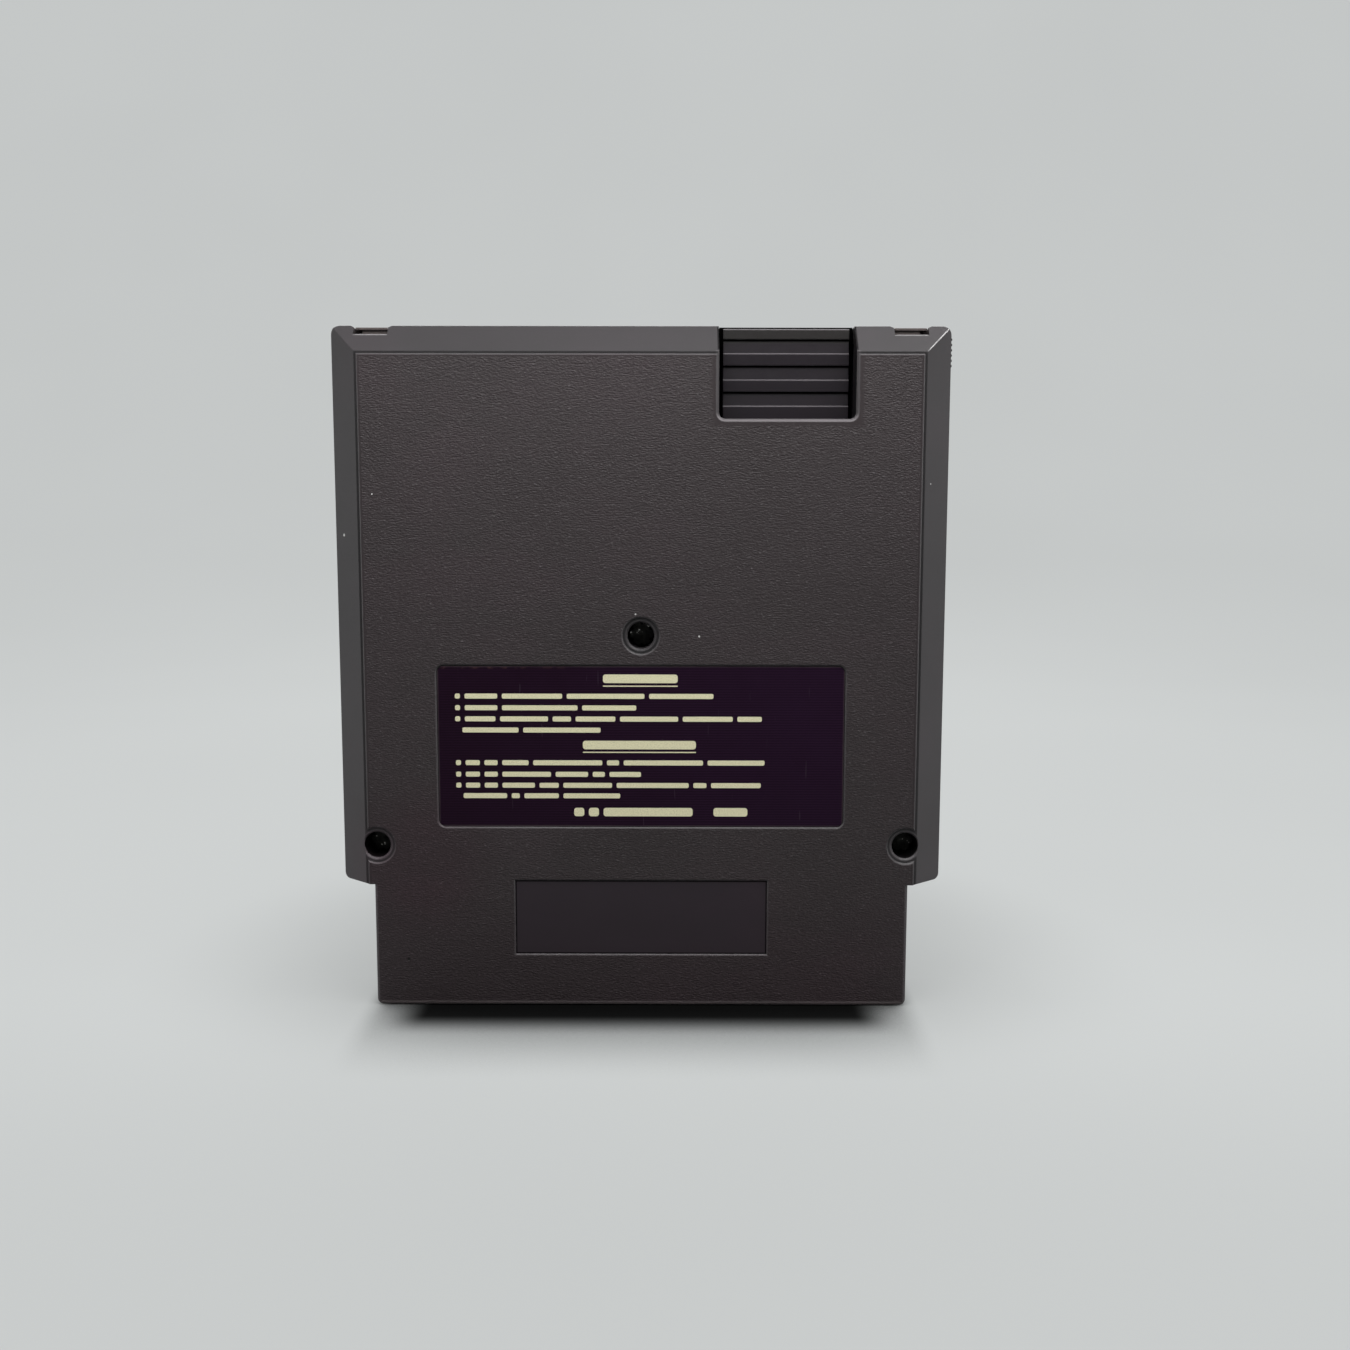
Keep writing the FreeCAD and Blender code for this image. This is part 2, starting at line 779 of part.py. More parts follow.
def build_resistors():
    bodies = []
    leads = []
    radius = resistor_diameter / 2
    axis = board_rear - seat_gap - radius
    x0 = resistor_x - resistor_length / 2
    x1 = resistor_x + resistor_length / 2
    for z in resistor_zs:
        section = []
        for i in range(8):
            angle = math.radians(45.0 * i + 22.5)
            section.append((axis + radius * math.cos(angle), z + radius * math.sin(angle)))
        bodies.append(prism_x(section, x0, x1))
        leads.append(bent_lead(x0, axis, z, -1))
        leads.append(bent_lead(x1, axis, z, 1))
    return bodies, leads


def write(name, shapes):
    if len(shapes) == 1:
        shape = shapes[0]
    else:
        shape = Part.makeCompound(shapes)
    shape.exportStep("parts/" + name + ".step")


os.makedirs("parts", exist_ok=True)

rom_x = rom_length / 2 + rom_gap / 2
program = build_chip(-rom_x, rom_height, rom_pin_count, rom_row, rom_length, rom_body_width, rom_body_height)
graphics = build_chip(rom_x, rom_height, rom_pin_count, rom_row, rom_length, rom_body_width, rom_body_height)
lockout = build_chip(
    small_chip_x, small_chip_height, small_pin_count,
    small_row, small_length, small_body_width, small_body_height,
)
can, bung, can_leads = build_can()
ceramic_bodies, ceramic_leads = build_ceramics()
resistor_bodies, resistor_leads = build_resistors()

write("rear_shell", [build_rear_shell()])
write("front_shell", [build_front_shell()])
write("rear_label", [build_label()])
write("case_screws", [build_screw(x, z) for x, z in screws])
write("circuit_board", [build_board()])
write("rear_edge_contacts", build_contacts(board_rear - contact_thickness, board_rear))
write("front_edge_contacts", build_contacts(board_front, board_front + contact_thickness))
write("program_rom_body", [program[0]])
write("program_rom_leads", program[1])
write("graphics_rom_body", [graphics[0]])
write("graphics_rom_leads", graphics[1])
write("lockout_chip_body", [lockout[0]])
write("lockout_chip_leads", lockout[1])
write("electrolytic_capacitor", [can])
write("electrolytic_bung", [bung])
write("electrolytic_leads", can_leads)
write("ceramic_capacitor_bodies", ceramic_bodies)
write("ceramic_capacitor_leads", ceramic_leads)
write("resistor_bodies", resistor_bodies)
write("resistor_leads", resistor_leads)
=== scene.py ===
import math

import bmesh
import bpy
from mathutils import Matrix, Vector


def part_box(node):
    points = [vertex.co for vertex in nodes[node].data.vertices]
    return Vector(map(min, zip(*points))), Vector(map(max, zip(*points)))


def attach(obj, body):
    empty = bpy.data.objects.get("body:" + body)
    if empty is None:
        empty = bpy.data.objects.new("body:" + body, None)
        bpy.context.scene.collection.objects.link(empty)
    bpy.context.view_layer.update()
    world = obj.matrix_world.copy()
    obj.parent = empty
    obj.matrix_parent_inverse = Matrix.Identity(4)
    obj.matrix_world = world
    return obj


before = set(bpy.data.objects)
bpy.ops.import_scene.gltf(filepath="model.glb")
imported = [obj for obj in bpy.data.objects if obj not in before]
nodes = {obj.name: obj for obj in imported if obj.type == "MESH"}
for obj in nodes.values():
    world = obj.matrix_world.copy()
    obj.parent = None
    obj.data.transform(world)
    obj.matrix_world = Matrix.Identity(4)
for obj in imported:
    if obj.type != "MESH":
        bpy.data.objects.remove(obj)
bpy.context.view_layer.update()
scene = bpy.context.scene
print("frame loaded:", len(nodes), "nodes")


# a socket gets linked to the input, a plain value is set on it
def feed(tree, socket, value):
    if isinstance(value, bpy.types.NodeSocket):
        tree.links.new(value, socket)
    elif socket.type == "RGBA":
        socket.default_value = (*value, 1.0)
    else:
        socket.default_value = value


def connect(tree, shader, **inputs):
    for key, value in inputs.items():
        feed(tree, shader.inputs[key.replace("_", " ")], value)


# inputs go by name, with _ for a space, or by number as i0, i1 and so on
def addNode(tree, kind, props=None, **inputs):
    made = tree.nodes.new("ShaderNode" + kind)
    for key, value in (props or {}).items():
        setattr(made, key, value)
    for key, value in inputs.items():
        name = int(key[1:]) if key[1:].isdigit() else key.replace("_", " ")
        feed(tree, made.inputs[name], value)
    return made


def newMaterial(name):
    material = bpy.data.materials.new(name)
    material.use_nodes = True
    tree = material.node_tree
    shader = tree.nodes["Principled BSDF"]
    coords = addNode(tree, "TexCoord").outputs["Object"]
    return material, tree, shader, coords


def calc(tree, operation, a, b=0.0):
    return addNode(tree, "Math", {"operation": operation}, i0=a, i1=b).outputs[0]


def chain(tree, operation, *values):
    result = values[0]
    for value in values[1:]:
        result = calc(tree, operation, result, value)
    return result


def product(tree, *values):
    return chain(tree, "MULTIPLY", *values)


def highest(tree, *values):
    return chain(tree, "MAXIMUM", *values)


def lowest(tree, *values):
    return chain(tree, "MINIMUM", *values)


# two values by their shares, added up
def weigh(tree, a, b, shares):
    return calc(tree, "ADD", calc(tree, "MULTIPLY", a, shares[0]), calc(tree, "MULTIPLY", b, shares[1]))


def mixValue(tree, factor, a, b):
    return addNode(tree, "Mix", {"data_type": "FLOAT"}, i0=factor, i2=a, i3=b).outputs[0]


def splitAxes(tree, vector):
    return addNode(tree, "SeparateXYZ", None, Vector=vector).outputs


def distance(tree, vector, place):
    return addNode(tree, "VectorMath", {"operation": "DISTANCE"}, i0=vector, i1=place).outputs["Value"]


def fade(tree, value, low, high, toLow=0.0, toHigh=1.0, shape="SMOOTHSTEP"):
    return addNode(tree, "MapRange", {"interpolation_type": shape}, Value=value, From_Min=low, From_Max=high,
                   To_Min=toLow, To_Max=toHigh).outputs["Result"]


# 1 on one side of a limit, with a soft border
def above(tree, value, limit, soft):
    return fade(tree, value, limit - soft, limit + soft)


def below(tree, value, limit, soft):
    return fade(tree, value, limit + soft, limit - soft)


def band(tree, value, low, high, soft):
    return product(tree, above(tree, value, low, soft), below(tree, value, high, soft))


def noise(tree, vector, scale, detail=3.0, roughness=0.55, distortion=0.0):
    return addNode(tree, "TexNoise", None, Vector=vector, Scale=scale, Detail=detail, Roughness=roughness,
                   Distortion=distortion).outputs["Fac"]


def stretch(tree, vector, scale, turn=(0.0, 0.0, 0.0)):
    return addNode(tree, "Mapping", None, Vector=vector, Rotation=turn, Scale=scale).outputs[0]


def blendColour(tree, factor, a, b, kind="MIX"):
    return addNode(tree, "Mix", {"data_type": "RGBA", "blend_type": kind}, i0=factor, i6=a, i7=b).outputs[2]


def times(tree, tone, factor):
    return blendColour(tree, 1.0, tone, factor, "MULTIPLY")


# where the mask is 1, only this share of the tone is left
def darken(tree, tone, mask, share, shape="SMOOTHSTEP"):
    return times(tree, tone, fade(tree, mask, 0.0, 1.0, 1.0, share, shape))


def tones(tree, value, places, colours):
    ramp = addNode(tree, "ValToRGB", None, Fac=value)
    points = ramp.color_ramp.elements
    while len(points) < len(places):
        points.new(0.5)
    for point, place, colour in zip(points, places, colours):
        point.position = place
        point.color = (*colour, 1.0)
    return ramp.outputs[0]


# one tone, a little darker and paler with the value
def varied(tree, value, places, tone, levels):
    return tones(tree, value, places, [[part * level for part in tone] for level in levels])


def bump(tree, height, strength, depth, normal=None):
    made = addNode(tree, "Bump", None, Height=height, Strength=strength, Distance=depth)
    if normal is not None:
        tree.links.new(normal, made.inputs["Normal"])
    return made.outputs[0]


# worn edges and painted edge highlights: where the rounded normal leans away from the flat one
def edgeWearAndSheen(tree, samples, radius, lean):
    rounded = addNode(tree, "Bevel", {"samples": samples}, Radius=radius).outputs[0]
    flat = addNode(tree, "NewGeometry").outputs["True Normal"]
    upright = addNode(tree, "VectorMath", {"operation": "DOT_PRODUCT"}, i0=rounded, i1=flat).outputs["Value"]
    return fade(tree, calc(tree, "SUBTRACT", 1.0, upright), *lean), rounded


# 1 for rays that look at the surface, 0 for those that carry its light elsewhere
def lookingRays(tree):
    path = addNode(tree, "LightPath").outputs
    return highest(tree, path["Is Camera Ray"], path["Is Glossy Ray"], path["Is Transmission Ray"])


# case: grained moulded plastic with smooth bevels
# places, radii, depths and soft borders in metres; depths run along y, and the rear face has the lowest
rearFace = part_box("rear_shell")[0].y
casing = {
    "tones": {
        "valley": (0.0262, 0.0205, 0.0219),
        "body": (0.0312, 0.0249, 0.0264),
        "peak": (0.0368, 0.0304, 0.0320),
        "paintedGlint": (0.078, 0.070, 0.073),
        "bevel": (0.0390, 0.0356, 0.0376),
        "panel": (0.0228, 0.0166, 0.0216),
        "shadedRibs": (0.0074, 0.0051, 0.0076),
        "litRibTop": (0.0140, 0.0126, 0.0122),
        "rim": (0.076, 0.070, 0.073),
        "lip": (0.125, 0.114, 0.120),
        "hem": (0.112, 0.103, 0.102),
        "worn": (0.105, 0.100, 0.103),
        "crest": (0.105, 0.096, 0.103),
        "mitreHighlight": (0.42, 0.41, 0.41),
        "slot": (0.080, 0.066, 0.064),
        "dust": (0.55, 0.55, 0.54),
        "dent": (0.006, 0.005, 0.005),
    },
    # share of the tone left in grooves, holes and lines, painted shade where shade falls in them
    "shares": {"trough": 0.24, "foot": 0.46, "grainLine": 0.70, "bore": 0.10, "gap": 0.10},
    "noises": {
        "wavy": {"scale": 3500.0, "detail": 2.0, "roughness": 0.5, "distortion": 0.15},
        "fine": {"scale": 9000.0, "detail": 2.0},
        "patches": {"scale": 38.0, "detail": 3.0, "roughness": 0.5},
        "streaks": {"scale": 160.0, "detail": 2.0},
        "ragged": {"scale": 900.0, "detail": 2.0},
        "scuffs": {"scale": 420.0},
        "ridgeBreaks": {"scale": 700.0},
    },
    # wavy noise pulled a little sideways, with rounded cells in it; stops run from valley to a painted glint
    # on the highest grain
    "grain": {"pull": (0.45, 1.0, 1.15), "cellScale": 2800.0, "mix": (0.85, 0.22),
              "stops": (0.34, 0.55, 0.69, 0.82), "middle": 0.55, "bump": (0.8, 0.00026)},
    "fineBump": (0.12, 0.00002),
    # the bevels vary with the fine noise and are painted paler low down, a painted reflection of the floor:
    # heights, then levels
    "bevel": {"stops": (0.3, 0.7), "levels": (0.94, 1.06), "lowReflection": (0.030, 0.080, 1.62, 0.92)},
    "clouds": {"streakPull": (0.25, 1.0, 1.0), "mix": (0.7, 0.3), "stops": (0.32, 0.5, 0.68),
               "tints": ((0.91, 0.91, 0.90), (1.0, 1.0, 1.0), (1.12, 1.06, 1.09))},
    "lowShade": {"heights": (0.030, 0.010), "tint": (0.89, 0.82, 0.85)},
    # faint reddish stain beside the left screw
    "stain": {"tint": (0.97, 0.80, 0.87), "place": (-0.0440, rearFace, 0.0300), "radii": (0.0190, 0.0057),
              "patches": (0.3, 0.6, 0.6, 1.0)},
    "seam": 0.001,
    # raised field: its plane, half width and top, and the same of the front face
    "field": {"plane": 0.00840, "half": 0.05355, "top": 0.12755, "soft": 0.0001, "planeSoft": 0.00004,
              "frontPlane": 0.00805, "frontHalf": 0.05800, "frontTop": 0.13100, "frontSoft": 0.0002,
              "fromNotch": (0.0008, 0.0018), "ragged": 0.0012,
              "line": 0.00012, "lineSoft": 0.00006, "lineFoot": (0.0246, 0.0254)},
    # slanted rims, painted paler as a highlight, and the foot of the field's step, painted dark as shade
    "rims": {"depth": (-0.00847, -0.00829), "foot": (-0.00814, -0.00804), "soft": 0.00003},
    # finger notch: its flared rim and lip, painted bright as highlights, and its wall, painted dark as
    # shade, by distance from it, depth and rise
    "notch": {"middle": 0.0281, "half": 0.0131, "floor": 0.1160, "soft": 0.0001,
              "flare": (-0.0002, 0.0007), "flareDepth": (-0.00847, -0.00795), "flareSoft": 0.00003,
              "lipRise": (0.0012, 0.0002),
              "wall": (-0.0004, 0.0003), "wallDepth": (-0.0078, -0.0031), "wallRise": (-0.0006, -0.0002)},
    # finger grip in the notch: crests of its ribs, with a painted highlight, and the dark gap on both sides
    # of it, a painted shade
    "grip": {"depth": (-0.0029, -0.0004), "rise": (-0.0018, -0.0016), "soft": 0.0001, "sideSoft": 0.00005,
             "crest": (-0.00272, -0.00256), "crestSoft": 0.00003, "gap": (-0.00233, 0.0), "gapSoft": 0.00002,
             "topHeights": (0.1306, 0.1312), "scuffs": 0.25},
    # screw holes: (x, z) of the middle one and of the outer pair, radii of the hole and the ring round it
    "holes": {"places": ((0.0, 0.0744), (0.0523, 0.0327)), "radius": 0.0026, "soft": 0.00003,
              "depth": (-0.0080, -0.0072), "ring": 0.0035, "ringInside": 0.0004, "ringSoft": 0.0001},
    # smooth panel with a dark line of painted shade just inside its border
    "panel": {"half": 0.0250, "low": 0.0106, "top": 0.0256, "depth": -0.0082, "depthSoft": 0.00002,
              "line": 0.00024, "soft": 0.0001},
    # hook slots, painted brown inside for the light that reaches into them, with a ledge below painted
    # bright as a highlight
    "slots": {"inner": 0.0488, "outer": 0.0554, "floor": 0.13225, "roof": 0.13375, "soft": 0.0001,
              "heightSoft": 0.00005, "depth": (-0.0042, -0.0038),
              "ledge": (-0.00030, -0.00002), "ledgeDepth": (-0.0041, -0.0044), "ledgeSoft": 0.00003},
    # lower edge of the connector end, painted pale as a highlight of floor light on its rounded edge
    "hem": {"depth": -0.0076, "top": 0.0009, "soft": 0.0002},
    # edges painted paler where they stand out, partly wear and partly a painted highlight, and darker where
    # they lie in, a painted shade
    "wear": {"samples": 2, "radius": 0.00030, "lean": (0.015, 0.14)},
    "nook": {"samples": 2, "reach": 0.0007, "open": (0.70, 0.92), "cornerShade": (0.35, 0.92, 0.28, 1.0)},
    "scuffs": (0.35, 0.65, 0.40, 0.90),
    # one mitre of the bevels, along x - z, carries a painted highlight
    "ridge": {"line": -0.074, "width": (0.00020, 0.00007), "begin": (0.0546, 0.0552),
              "depth": (-0.0031, -0.0034), "ridgeBreaks": (0.30, 0.55, 0.45, 1.0), "smooth": 0.15},
    # place and radius of pale specks of dust and of one dark dent; the core is the share of it that is solid
    "specks": (((-0.05802, -0.00512, 0.09376), 0.00036), ((-0.05161, rearFace, 0.10161), 0.00018),
               ((-0.00101, rearFace, 0.07859), 0.00022), ((0.01135, rearFace, 0.07429), 0.00024),
               ((0.05594, -0.00693, 0.10374), 0.00018)),
    "speckCore": 0.5,
    "dent": {"place": (-0.04643, rearFace, 0.00944), "radius": 0.00036, "core": 0.6},
    "rough": {"bevel": 0.40, "field": 0.48, "grain": (0.3, 0.8, 0.06, -0.08)},
    "specular": 0.22,
}


def casePlaces(tree, coords):
    x, y, z = splitAxes(tree, coords)
    notch = casing["notch"]
    fromMiddle = calc(tree, "ABSOLUTE", calc(tree, "SUBTRACT", x, notch["middle"]))
    fromSides = calc(tree, "SUBTRACT", fromMiddle, notch["half"])
    return {
        "x": x, "y": y, "z": z,
        "across": calc(tree, "ABSOLUTE", x),
        "rear": below(tree, y, 0.0, casing["seam"]),
        "overFloor": calc(tree, "SUBTRACT", z, notch["floor"]),
        "fromNotch": highest(tree, fromSides, calc(tree, "SUBTRACT", notch["floor"], z)),
    }


# the grain stops short of the field's edge and, raggedly, of the finger notch; on the front near its bevels
def grainMasks(tree, coords, at):
    field = casing["field"]
    y, z, across, rear = at["y"], at["z"], at["across"], at["rear"]
    half, top, soft = field["half"], field["top"], field["soft"]
    plateau = highest(tree, below(tree, y, -field["plane"], field["planeSoft"]),
                      above(tree, y, field["frontPlane"], field["planeSoft"]))
    waver = calc(tree, "SUBTRACT", noise(tree, coords, **casing["noises"]["ragged"]), 0.5)  # to both sides
    raggedEdge = calc(tree, "ADD", at["fromNotch"], calc(tree, "MULTIPLY", waver, field["ragged"]))
    onRear = product(tree, below(tree, across, half, soft), below(tree, z, top, soft),
                     fade(tree, raggedEdge, *field["fromNotch"]))
    onFront = product(tree, below(tree, across, field["frontHalf"], field["frontSoft"]),
                      below(tree, z, field["frontTop"], field["frontSoft"]))
    offRecess = above(tree, calc(tree, "ABSOLUTE", y), field["plane"], field["planeSoft"])
    # a dark line along the field's side and top edges, painted shade
    sideLine = product(tree, band(tree, across, half, half + field["line"], field["lineSoft"]),
                       below(tree, z, top + soft, soft), fade(tree, z, *field["lineFoot"]))
    topLine = product(tree, band(tree, z, top, top + field["line"], field["lineSoft"]),
                      below(tree, across, half + soft, soft))
    return {
        "plateau": plateau,
        "grained": product(tree, plateau, mixValue(tree, rear, onFront, onRear), offRecess),
        "grainLine": product(tree, plateau, rear, highest(tree, sideLine, topLine)),
    }


def notchMasks(tree, at):
    notch = casing["notch"]
    y, fromNotch, overFloor = at["y"], at["fromNotch"], at["overFloor"]
    flare = product(tree, band(tree, fromNotch, *notch["flare"], notch["soft"]),
                    band(tree, y, *notch["flareDepth"], notch["flareSoft"]))
    wall = product(tree, band(tree, fromNotch, *notch["wall"], notch["soft"]),
                   band(tree, y, *notch["wallDepth"], notch["soft"]),
                   fade(tree, overFloor, *notch["wallRise"]))
    lip = product(tree, flare, fade(tree, overFloor, *notch["lipRise"]))
    return {"flare": flare, "wall": wall, "lip": lip}


def gripMasks(tree, at):
    grip, notch = casing["grip"], casing["notch"]
    left, right = notch["middle"] - notch["half"], notch["middle"] + notch["half"]
    whole = product(tree, band(tree, at["y"], *grip["depth"], grip["soft"]),
                    fade(tree, at["overFloor"], *grip["rise"]),
                    band(tree, at["x"], left, right, grip["sideSoft"]))
    return {
        "grip": whole,
        "crest": product(tree, whole, band(tree, at["y"], *grip["crest"], grip["crestSoft"])),
        "gap": product(tree, whole, band(tree, at["y"], *grip["gap"], grip["gapSoft"])),
    }


# distance from the nearest screw hole, both outer holes taken together; the bore and the foot of the field's
# step outside the rings are painted dark as shade
def holeMasks(tree, at):
    holes = casing["holes"]
    folded = addNode(tree, "CombineXYZ", None, X=at["across"], Y=0.0, Z=at["z"]).outputs[0]
    fromHole = lowest(tree, *[distance(tree, folded, (x, 0.0, z)) for x, z in holes["places"]])
    bore = product(tree, at["rear"], below(tree, fromHole, holes["radius"] + holes["soft"], holes["soft"]),
                   fade(tree, at["y"], *holes["depth"]))
    offRing = above(tree, fromHole, holes["ring"] - holes["ringInside"], holes["ringSoft"])
    rims = casing["rims"]
    return {"bore": bore, "foot": product(tree, offRing, band(tree, at["y"], *rims["foot"], rims["soft"]))}


def panelMasks(tree, at):
    panel = casing["panel"]
    half, top, soft = panel["half"], panel["top"], panel["soft"]
    depth, depthSoft = panel["depth"], panel["depthSoft"]
    whole = product(tree, band(tree, at["y"], depth - depthSoft, depth + depthSoft, depthSoft),
                    below(tree, at["across"], half + soft, soft), below(tree, at["z"], top + soft, soft))
    inside = product(tree, below(tree, at["across"], half - panel["line"], soft),
                     band(tree, at["z"], panel["low"] + panel["line"], top - panel["line"], soft))
    return {"panel": whole, "panelLine": product(tree, whole, calc(tree, "SUBTRACT", 1.0, inside))}


def slotMasks(tree, at):
    slots = casing["slots"]
    aside = band(tree, at["across"], slots["inner"], slots["outer"], slots["soft"])
    slot = product(tree, aside, band(tree, at["z"], slots["floor"], slots["roof"], slots["heightSoft"]),
                   at["rear"], fade(tree, at["y"], *slots["depth"]))
    ledgeLow, ledgeHigh = [slots["floor"] + rise for rise in slots["ledge"]]
    ledge = product(tree, aside, band(tree, at["z"], ledgeLow, ledgeHigh, slots["ledgeSoft"]),
                    fade(tree, at["y"], *slots["ledgeDepth"]))
    return {"slot": slot, "ledge": ledge}


def caseMasks(tree, coords, at):
    masks = grainMasks(tree, coords, at)
    for makeMasks in (notchMasks, gripMasks, holeMasks, panelMasks, slotMasks):
        masks.update(makeMasks(tree, at))
    rims, hem = casing["rims"], casing["hem"]
    slanted = band(tree, at["y"], *rims["depth"], rims["soft"])
    # rims, slot ledges and the notch flare: painted highlights
    masks["rim"] = highest(tree, slanted, masks["ledge"], masks["flare"])
    masks["trough"] = highest(tree, masks["panelLine"], masks["wall"])
    masks["hem"] = product(tree, below(tree, at["y"], hem["depth"], hem["soft"]),
                           below(tree, at["z"], hem["top"], hem["soft"]))
    return masks


def caseTextures(tree, coords):
    grain, clouds, noises = casing["grain"], casing["clouds"], casing["noises"]
    wavy = noise(tree, stretch(tree, coords, grain["pull"]), **noises["wavy"])
    cells = addNode(tree, "TexVoronoi", {"feature": "F1"}, Vector=coords, Scale=grain["cellScale"])
    patches = noise(tree, coords, **noises["patches"])
    streaks = noise(tree, stretch(tree, coords, clouds["streakPull"]), **noises["streaks"])
    return {
        "grain": weigh(tree, wavy, cells.outputs["Distance"], grain["mix"]),
        "fine": noise(tree, coords, **noises["fine"]),
        "patches": patches,
        "cloud": weigh(tree, patches, streaks, clouds["mix"]),
    }


def plasticTone(tree, at, masks, textures):
    paint, grain, bevel = casing["tones"], casing["grain"], casing["bevel"]
    # the grain's brightest stop is a painted glint
    grainTone = tones(tree, textures["grain"], grain["stops"],
                      [paint[name] for name in ("valley", "body", "peak", "paintedGlint")])
    tone = varied(tree, textures["fine"], bevel["stops"], paint["bevel"], bevel["levels"])
    # the lower bevels painted paler, a painted reflection of the floor
    tone = times(tree, tone, fade(tree, at["z"], *bevel["lowReflection"]))
    tone = blendColour(tree, masks["plateau"], tone, paint["body"])
    tone = blendColour(tree, masks["grained"], tone, grainTone)
    tone = blendColour(tree, masks["panel"], tone, paint["panel"])
    # the ribs painted dark as shade in the notch, the top rib paler as painted light
    litRibTop = fade(tree, at["z"], *casing["grip"]["topHeights"])
    tone = blendColour(tree, masks["grip"], tone, blendColour(tree, litRibTop, paint["shadedRibs"], paint["litRibTop"]))
    # rim, lip and hem: painted highlights on edges turned to the light
    for name in ("rim", "lip", "hem"):
        tone = blendColour(tree, masks[name], tone, paint[name])
    return tone


def cloudedTone(tree, coords, at, textures, tone):
    clouds, lowShade, stain = casing["clouds"], casing["lowShade"], casing["stain"]
    tone = times(tree, tone, tones(tree, textures["cloud"], clouds["stops"], clouds["tints"]))
    low = fade(tree, at["z"], *lowShade["heights"])
    tone = blendColour(tree, low, tone, times(tree, tone, lowShade["tint"]))
    stained = product(tree, at["rear"], fade(tree, distance(tree, coords, stain["place"]), *stain["radii"]),
                      fade(tree, textures["patches"], *stain["patches"]))
    return blendColour(tree, stained, tone, times(tree, tone, stain["tint"]))


def ridgeMask(tree, coords, at):
    ridge = casing["ridge"]
    across = calc(tree, "SUBTRACT", calc(tree, "SUBTRACT", at["x"], at["z"]), ridge["line"])
    return product(tree, fade(tree, calc(tree, "ABSOLUTE", across), *ridge["width"]),
                   fade(tree, at["x"], *ridge["begin"]), fade(tree, at["y"], *ridge["depth"]),
                   fade(tree, noise(tree, coords, **casing["noises"]["ridgeBreaks"]), *ridge["ridgeBreaks"]))


def wearLightAndShadeTone(tree, coords, masks, worn, ridge, tone):
    paint, nook = casing["tones"], casing["nook"]
    openness = addNode(tree, "AmbientOcclusion", {"samples": nook["samples"], "only_local": True},
                       Distance=nook["reach"]).outputs["AO"]
    # worn edges, partly real wear and partly a painted highlight, kept out of hollows
    scuffedAndSheen = product(tree, worn, fade(tree, openness, *nook["open"]),
                      fade(tree, noise(tree, coords, **casing["noises"]["scuffs"]), *casing["scuffs"]),
                      fade(tree, masks["grip"], 0.0, 1.0, 1.0, casing["grip"]["scuffs"]))
    tone = blendColour(tree, scuffedAndSheen, tone, paint["worn"])
    # rib crests: painted highlight
    tone = blendColour(tree, masks["crest"], tone, paint["crest"])
    # painted highlight along one mitre
    tone = blendColour(tree, ridge, tone, paint["mitreHighlight"])
    # painted shade in corners and creases, from local occlusion
    tone = times(tree, tone, fade(tree, openness, *nook["cornerShade"]))
    # painted shade in grooves, lines, the screw bores and the gaps under the ribs
    for name, share in casing["shares"].items():
        tone = darken(tree, tone, masks[name], share)
    # slot interiors painted brown, standing for the light that reaches into them
    tone = blendColour(tree, masks["slot"], tone, paint["slot"])
    for place, radius in casing["specks"]:
        speck = fade(tree, distance(tree, coords, place), radius, radius * casing["speckCore"])
        tone = blendColour(tree, speck, tone, paint["dust"])
    return tone


def caseMaterial():
    material, tree, shader, coords = newMaterial("grainedCasing")
    at = casePlaces(tree, coords)
    masks = caseMasks(tree, coords, at)
    textures = caseTextures(tree, coords)
    worn, rounded = edgeWearAndSheen(tree, **casing["wear"])
    ridge = ridgeMask(tree, coords, at)
    tone = plasticTone(tree, at, masks, textures)
    tone = cloudedTone(tree, coords, at, textures, tone)
    tone = wearLightAndShadeTone(tree, coords, masks, worn, ridge, tone)
    dent = casing["dent"]
    dented = fade(tree, distance(tree, coords, dent["place"]), dent["radius"], dent["radius"] * dent["core"])
    tone = blendColour(tree, dented, tone, casing["tones"]["dent"])
    relief = calc(tree, "SUBTRACT", textures["grain"], casing["grain"]["middle"])
    height = calc(tree, "SUBTRACT", calc(tree, "MULTIPLY", relief, masks["grained"]), dented)
    normal = bump(tree, textures["fine"], *casing["fineBump"], rounded)
    normal = bump(tree, height, *casing["grain"]["bump"], normal)
    rough = mixValue(tree, masks["grained"], casing["rough"]["bevel"], casing["rough"]["field"])
    rough = calc(tree, "ADD", rough, fade(tree, textures["grain"], *casing["rough"]["grain"]))
    rough = calc(tree, "SUBTRACT", rough, calc(tree, "MULTIPLY", ridge, casing["ridge"]["smooth"]))
    # narrow grooves and holes throw nothing back: their reflection is painted out, a painted shade
    cavity = highest(tree, masks["trough"], masks["gap"], masks["bore"])
    gleam = blendColour(tree, cavity, (1.0, 1.0, 1.0), (0.0, 0.0, 0.0))
    connect(tree, shader, Base_Color=tone, Roughness=rough, Normal=normal,
            Specular_IOR_Level=casing["specular"], Specular_Tint=gleam)
    return material


